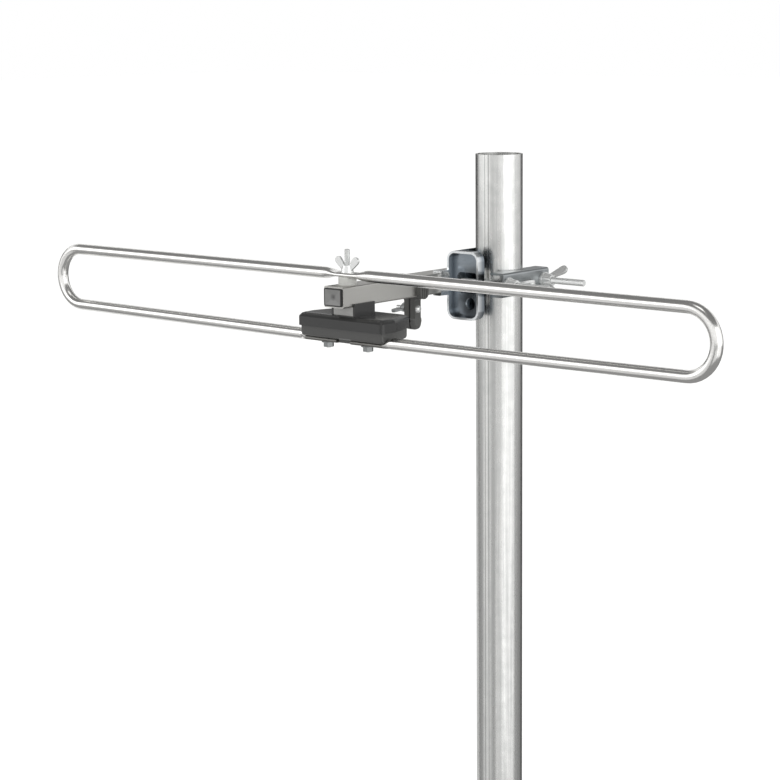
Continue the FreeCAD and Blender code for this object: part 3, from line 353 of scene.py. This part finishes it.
def drawn_aluminium():
    """Drawn aluminium: fine lines along X change the colour and the polish slightly.

    The ends crushed flat under the box are dull, and darker with painted shade: the share of dull
    and shade falls from 1 to 0 over the ramp past half their length from the middle, in the lower half
    only.
    """
    material, shader = finish_named("drawn_aluminium")
    place = add(material, "ShaderNodeTexCoord", {}).outputs["Object"]
    stretched = add(material, "ShaderNodeMapping", {
        "Vector": place, "Scale": (1 / DRAW_LENGTH, 1 / DRAW_LINE, 1 / DRAW_LINE)})
    lines = add(material, "ShaderNodeTexNoise", {
        "Vector": stretched.outputs["Vector"], "Scale": 1.0, "Detail": 2.0})
    share = add(material, "ShaderNodeMapRange", {
        "Value": lines.outputs[0], "From Min": NOISE_LOW, "From Max": NOISE_HIGH,
        "To Min": 0.0, "To Max": 1.0})
    bright = add(material, "ShaderNodeMix", {
        0: share.outputs[0], 6: srgb("#EBEAE7"), 7: srgb("#F8F7F5")}, data_type="RGBA")
    polish = add(material, "ShaderNodeMapRange", {
        "Value": share.outputs[0], "From Min": 0.0, "From Max": 1.0, "To Min": 0.24, "To Max": 0.17})
    centre = middle("dipole_loop")
    axes = add(material, "ShaderNodeSeparateXYZ", {0: place})
    crushed = add(material, "ShaderNodeMapRange", {
        "Value": away(material, axes.outputs["X"], centre[0]),
        "From Min": DULL_AND_SHADE_HALF, "From Max": DULL_AND_SHADE_HALF + DULL_AND_SHADE_RAMP, "To Min": 1.0, "To Max": 0.0})
    lower = add(material, "ShaderNodeMath", {
        0: axes.outputs["Z"], 1: centre[2]}, operation="LESS_THAN")
    dull_and_shade = add(material, "ShaderNodeMath", {
        0: crushed.outputs[0], 1: lower.outputs[0]}, operation="MULTIPLY")
    # Painted shade: the crushed ends under the box are darkened to a dull grey; their roughness is
    # raised too.
    colour = add(material, "ShaderNodeMix", {
        0: dull_and_shade.outputs[0], 6: bright.outputs[2], 7: srgb("#83827F")}, data_type="RGBA")
    rough = add(material, "ShaderNodeMix", {
        0: dull_and_shade.outputs[0], 2: polish.outputs[0], 3: DULL_ROUGHNESS})
    feed(material, shader, {
        "Base Color": colour.outputs[2], "Roughness": rough.outputs[0], "Metallic": 1.0})
    return material


dress(["dipole_loop"], drawn_aluminium())
dress(["dipole_pad"], moulded("clear_nylon", "#F4F4EF", 0.4, clearness=0.15))

# Cable clip: two black polyamide jaws, moulded, weathered to a dark grey. They meet at a seam
# under the boom's axis, drawn as a black line of painted shade, wider than the gap between them.
SEAM_SHADE, SEAM_SOFT = 0.7 * MM, 0.4 * MM


def grey_with_painted_seam_shade(material):
    """Dark grey, with a line of painted shade in black where |x - the seam's x| is less than half the
    seam's shade.
    """
    place = add(material, "ShaderNodeTexCoord", {}).outputs["Object"]
    axes = add(material, "ShaderNodeSeparateXYZ", {0: place})
    # Painted shade along the seam between the jaws, wider than the gap.
    black = add(material, "ShaderNodeMapRange", {
        "Value": away(material, axes.outputs["X"], middle("boom_tube")[0]),
        "From Min": SEAM_SHADE, "From Max": SEAM_SHADE + SEAM_SOFT, "To Min": 1.0, "To Max": 0.0})
    return add(material, "ShaderNodeMix", {
        0: black.outputs[0], 6: srgb("#5C5C5A"), 7: srgb("#101010")}, data_type="RGBA").outputs[2]


black_polyamide = moulded("black_polyamide", grey_with_painted_seam_shade, 0.28)
for jaw in ("clip_near_jaw", "clip_far_jaw"):
    eased_copy(jaw, black_polyamide, 0.3 * MM)

# Wing nuts, washers, nuts and small screws: cold-formed steel, zinc plated, with edges soft
# from forming. Most wear a clear film that scatters light and looks whiter than bare metal;
# the nuts under the box and the clip's wing nut are drawn darker and duller.
bright_zinc = even_metal("bright_zinc_plate", "#F0F1F0", 0.20, metallic=0.6)
dull_zinc = even_metal("dull_zinc_plate", "#8C8E8E", 0.30)
for formed in ("dipole_wing_nut", "clamp_wing_nuts", "clip_bolt"):
    eased_copy(formed, bright_zinc, 0.3 * MM)
eased_copy("clip_wing_nut", dull_zinc, 0.3 * MM)
dress(["clamp_washers", "lid_screws"], bright_zinc)
dress(["terminal_washers", "terminal_nuts"], dull_zinc)

# Bolts: hexagon-headed steel screws with rolled metric threads, bright zinc plated.
# Each is turned about its own axis from under its head, then set where the frame has it.
M5, M5_PITCH, M5_FLATS, M5_HEAD = 2.5 * MM, 0.8 * MM, 8.0 * MM, 3.5 * MM
M6, M6_PITCH, M6_FLATS, M6_HEAD = 3.0 * MM, 1.0 * MM, 10.0 * MM, 4.0 * MM
ROUND_STEPS, THREAD_ROWS = 36, 6
THREAD_DEPTH = 0.61                     # of the pitch
HEAD_CHAMFER, TIP_CHAMFER = 0.5 * MM, 0.6 * MM
POLE_MERGE = 0.001 * MM


def bolt_surface(radius, length, pitch, flats, head):
    """Grid of a hexagon bolt along +Z, its head under z = 0.

    Radius is a function of angle a and height z. The head's is half the flats over
    cos(a to the nearest flat), held in by its chamfer. The thread's is the nominal radius
    less its depth times the distance of (z/pitch - a/turn) from a whole number, doubled.
    """
    angle = np.linspace(0.0, 2 * np.pi, ROUND_STEPS, endpoint=False)
    to_flat = (angle + np.pi / 6) % (np.pi / 3) - np.pi / 6
    hexagon = 0.5 * flats / np.cos(to_flat)
    cone = np.full(ROUND_STEPS, 0.5 * flats)
    tip = np.zeros(ROUND_STEPS)
    turns = int(length / pitch * THREAD_ROWS)
    z = np.linspace(0.0, length, turns + 1)
    phase = z[:, None] / pitch - angle[None, :] / (2 * np.pi)
    groove = 2 * np.abs(phase - np.round(phase))
    depth = THREAD_DEPTH * pitch * np.clip(z[:, None] / pitch, 0, 1)
    shank = radius - depth * groove
    shank = np.minimum(shank, (radius - TIP_CHAMFER + (length - z))[:, None])
    radii = np.vstack([tip, cone, hexagon, hexagon, shank, tip])
    heights = np.concatenate([[-head, -head, HEAD_CHAMFER - head, 0.0], z, [length]])
    grid = np.empty((len(radii), ROUND_STEPS, 3))
    grid[..., 0] = radii * np.cos(angle)
    grid[..., 1] = radii * np.sin(angle)
    grid[..., 2] = heights[:, None]
    return grid


def turned_to(grid, seat, way):
    """The grid moved from its own axis to a seat point, with +Z laid along another direction."""
    turn = np.array(Vector((0, 0, 1)).rotation_difference(Vector(way)).to_matrix())
    return grid @ turn.T + np.array(seat)


def closed_mesh(name, grids, material):
    """One mesh of several closed grids, rows by steps round.

    The points that lie together at each end are joined, and every face is turned outwards.
    """
    faces, start = [], 0
    for grid in grids:
        rows, steps = grid.shape[:2]
        index = start + np.arange(rows * steps).reshape(rows, steps)
        onward = np.roll(index, -1, axis=1)
        quads = np.stack([index[:-1], onward[:-1], onward[1:], index[1:]], axis=-1)
        faces.append(quads.reshape(-1, 4))
        start += rows * steps
    points = np.concatenate([grid.reshape(-1, 3) for grid in grids])
    mesh = bpy.data.meshes.new(name)
    mesh.from_pydata(points.tolist(), [], np.concatenate(faces).tolist())
    mesh.materials.append(material)
    work = bmesh.new()
    work.from_mesh(mesh)
    bmesh.ops.remove_doubles(work, verts=work.verts, dist=POLE_MERGE)
    bmesh.ops.recalc_face_normals(work, faces=work.faces)
    work.to_mesh(mesh)
    work.free()
    return mesh


def bolt_group(node, radius, pitch, flats, head, way, seats):
    """All the bolts of one node, each from its seat along the same direction."""
    low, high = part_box(node)
    along = [abs(c) for c in way].index(1)
    length = high[along] - low[along] - head
    grids = [turned_to(bolt_surface(radius, length, pitch, flats, head), seat, way)
             for seat in seats]
    name = node + "_threaded"
    stand_for(node, name, closed_mesh(name, grids, bright_zinc))


long_x, long_y, _ = middle("dipole_bolt")
long_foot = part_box("dipole_bolt")[0].z
bolt_group("dipole_bolt", M5, M5_PITCH, M5_FLATS, M5_HEAD, (0, 0, 1),
           [(long_x, long_y, long_foot + M5_HEAD)])

clamp_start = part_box("clamp_bolts")[0].x
ring_low, ring_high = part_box("clamp_washers")
ring_half = (ring_high.z - ring_low.z) / 2
bolt_group("clamp_bolts", M6, M6_PITCH, M6_FLATS, M6_HEAD, (1, 0, 0),
           [(clamp_start + M6_HEAD, y, middle("clamp_washers")[2])
            for y in (ring_low.y + ring_half, ring_high.y - ring_half)])

washer_low, washer_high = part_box("terminal_washers")
washer_half = (washer_high.y - washer_low.y) / 2
terminal_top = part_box("terminal_bolts")[1].z
bolt_group("terminal_bolts", M5, M5_PITCH, M5_FLATS, M5_HEAD, (0, 0, -1),
           [(x, middle("terminal_washers")[1], terminal_top - M5_HEAD)
            for x in (washer_low.x + washer_half, washer_high.x - washer_half)])

# Studio: a plain pale floor, and what the metal mirrors: pale walls over a darker ground,
# under a dark ceiling, and a black flag behind, which draws the metal's dark edge lines.
# One wide soft panel stands at the camera's right, and smaller ones all round and above.
FLOOR_HALF = 20.0
FLOOR_LIFT = 0.58
AZIMUTH = math.radians(40.85)
level_right = Vector((math.cos(AZIMUTH), math.sin(AZIMUTH), 0.0))
level_ahead = Vector((-math.sin(AZIMUTH), math.cos(AZIMUTH), 0.0))
# Where each starts and ends, as the sine of the angle above the horizon, and how light it is.
GROUND_TOP, WALL_FOOT, WALL_TOP, CEILING = -0.17, -0.09, 0.42, 0.58
FLAG_FOOT, FLAG_BOTTOM, FLAG_TOP, FLAG_FADE = -0.46, -0.36, 0.16, 0.28
FLAG_EDGE, FLAG_FULL = math.cos(math.radians(65.0)), math.cos(math.radians(45.0))
GROUND_SHADE, CEILING_SHADE, FLAG_SHADE, AMBIENT = 0.3, 0.2, 0.06, 0.7
DIPOLE_MIDDLE = Vector((-34.2, -165.0, 519.3)) * MM
PANEL_DISTANCE = 3.0


def pale_floor():
    """Matt white floor; the camera sees a little white light added."""
    material, shader = finish_named("pale_floor")
    feed(material, shader, {"Base Color": srgb("#D4D4D2"), "Roughness": 0.9})
    seen = add(material, "ShaderNodeLightPath", {}).outputs["Is Camera Ray"]
    share = add(material, "ShaderNodeMath", {0: seen, 1: FLOOR_LIFT}, operation="MULTIPLY")
    lift = add(material, "ShaderNodeEmission", {"Color": (1, 1, 1, 1), "Strength": share.outputs[0]})
    both = add(material, "ShaderNodeAddShader", {0: shader.outputs[0], 1: lift.outputs[0]})
    feed(material, material.node_tree.nodes["Material Output"], {"Surface": both.outputs[0]})
    return material


floor_mesh = bpy.data.meshes.new("floor")
floor_mesh.from_pydata([(-FLOOR_HALF, -FLOOR_HALF, 0), (FLOOR_HALF, -FLOOR_HALF, 0),
                        (FLOOR_HALF, FLOOR_HALF, 0), (-FLOOR_HALF, FLOOR_HALF, 0)],
                       [], [(0, 1, 2, 3)])
floor_mesh.materials.append(pale_floor())
floor = bpy.data.objects.new("floor", floor_mesh)
bpy.context.scene.collection.objects.link(floor)
floor.visible_glossy = False

world = bpy.data.worlds.new("surroundings")
world.use_nodes = True
bpy.context.scene.world = world
rays = add(world, "ShaderNodeLightPath", {})
way = add(world, "ShaderNodeTexCoord", {}).outputs["Generated"]
height = add(world, "ShaderNodeSeparateXYZ", {0: way}).outputs["Z"]
behind = add(world, "ShaderNodeVectorMath", {0: way, 1: level_ahead}, operation="DOT_PRODUCT")
flag_wide = add(world, "ShaderNodeMapRange", {
    "Value": behind.outputs["Value"], "From Min": FLAG_EDGE, "From Max": FLAG_FULL,
    "To Min": 0.0, "To Max": 1.0})
flag_tall = add(world, "ShaderNodeMapRange", {
    "Value": height, "From Min": FLAG_TOP, "From Max": FLAG_FADE, "To Min": 1.0, "To Max": 0.0})
flag_foot = add(world, "ShaderNodeMapRange", {
    "Value": height, "From Min": FLAG_FOOT, "From Max": FLAG_BOTTOM, "To Min": 0.0, "To Max": 1.0})
flag_band = add(world, "ShaderNodeMath", {
    0: flag_tall.outputs[0], 1: flag_foot.outputs[0]}, operation="MULTIPLY")
flag = add(world, "ShaderNodeMath", {
    0: flag_wide.outputs[0], 1: flag_band.outputs[0]}, operation="MULTIPLY")
walls = add(world, "ShaderNodeMapRange", {
    "Value": height, "From Min": GROUND_TOP, "From Max": WALL_FOOT,
    "To Min": GROUND_SHADE, "To Max": 1.0}, interpolation_type="SMOOTHSTEP")
ceiling = add(world, "ShaderNodeMapRange", {
    "Value": height, "From Min": WALL_TOP, "From Max": CEILING,
    "To Min": 1.0, "To Max": CEILING_SHADE}, interpolation_type="SMOOTHSTEP")
dome = add(world, "ShaderNodeMath", {0: walls.outputs[0], 1: ceiling.outputs[0]}, operation="MULTIPLY")
mirrored = add(world, "ShaderNodeMix", {0: flag.outputs[0], 2: dome.outputs[0], 3: FLAG_SHADE})
lighting = add(world, "ShaderNodeMix", {
    0: rays.outputs["Is Glossy Ray"], 2: AMBIENT, 3: mirrored.outputs[0]})
shown = add(world, "ShaderNodeMath", {
    0: rays.outputs["Is Camera Ray"], 1: rays.outputs["Is Transmission Ray"]},
    operation="MAXIMUM")
strength = add(world, "ShaderNodeMix", {0: shown.outputs[0], 2: lighting.outputs[0], 3: 1.0})
feed(world, world.node_tree.nodes["Background"], {
    "Color": (1, 1, 1, 1), "Strength": strength.outputs[0]})


def softbox(name, turn, rise, width, tall, radiance):
    """A soft panel seen from the dipole's middle: turn is degrees from the camera, to its right.

    Its power is the wanted radiance times pi times its area.
    """
    turn, rise = math.radians(turn), math.radians(rise)
    back = -level_ahead * math.cos(turn) + level_right * math.sin(turn)
    away_from_middle = back * math.cos(rise) + Vector((0, 0, math.sin(rise)))
    light = bpy.data.lights.new(name, "AREA")
    light.shape = "RECTANGLE"
    light.size, light.size_y = width, tall
    light.energy = radiance * math.pi * width * tall
    lamp = bpy.data.objects.new(name, light)
    lamp.location = DIPOLE_MIDDLE + away_from_middle * PANEL_DISTANCE
    lamp.rotation_mode = "QUATERNION"
    lamp.rotation_quaternion = away_from_middle.to_track_quat("Z", "Y")
    lamp.visible_camera = False
    bpy.context.scene.collection.objects.link(lamp)


softbox("left_light", -68.0, -26.0, 2.6, 2.0, 0.42)
softbox("left_high_light", -84.0, 12.0, 2.0, 1.1, 1.1)
softbox("front_light", 2.0, -24.0, 2.4, 1.2, 0.5)
softbox("right_light", 47.0, 0.0, 3.7, 3.6, 0.78)
softbox("back_light", -158.0, -26.0, 2.5, 2.0, 0.6)
softbox("top_light", -20.0, 72.0, 1.2, 1.2, 1.1)

# Camera: its place, its turn and its lens were solved from the dipole, the boom and the mast
# in the photograph. It looks down a little and leans half a degree.
CAMERA = DIPOLE_MIDDLE + Vector((1213.4, -1349.5, 243.4)) * MM
LENS, SENSOR = 99.43, 36.0
PITCH, ROLL = math.radians(9.9), math.radians(-0.54)

camera = bpy.data.cameras.new("camera")
camera.lens = LENS
camera.sensor_width = SENSOR
camera.sensor_fit = "HORIZONTAL"
ahead = level_ahead * math.cos(PITCH) - Vector((0, 0, math.sin(PITCH)))
upward = level_ahead * math.sin(PITCH) + Vector((0, 0, math.cos(PITCH)))
right = level_right * math.cos(ROLL) + upward * math.sin(ROLL)
upright = upward * math.cos(ROLL) - level_right * math.sin(ROLL)
eye = bpy.data.objects.new("camera", camera)
eye.matrix_world = Matrix.Translation(CAMERA) @ Matrix((right, upright, -ahead)).transposed().to_4x4()
bpy.context.scene.collection.objects.link(eye)
bpy.context.scene.camera = eye
bpy.context.scene.view_settings.view_transform = "Standard"
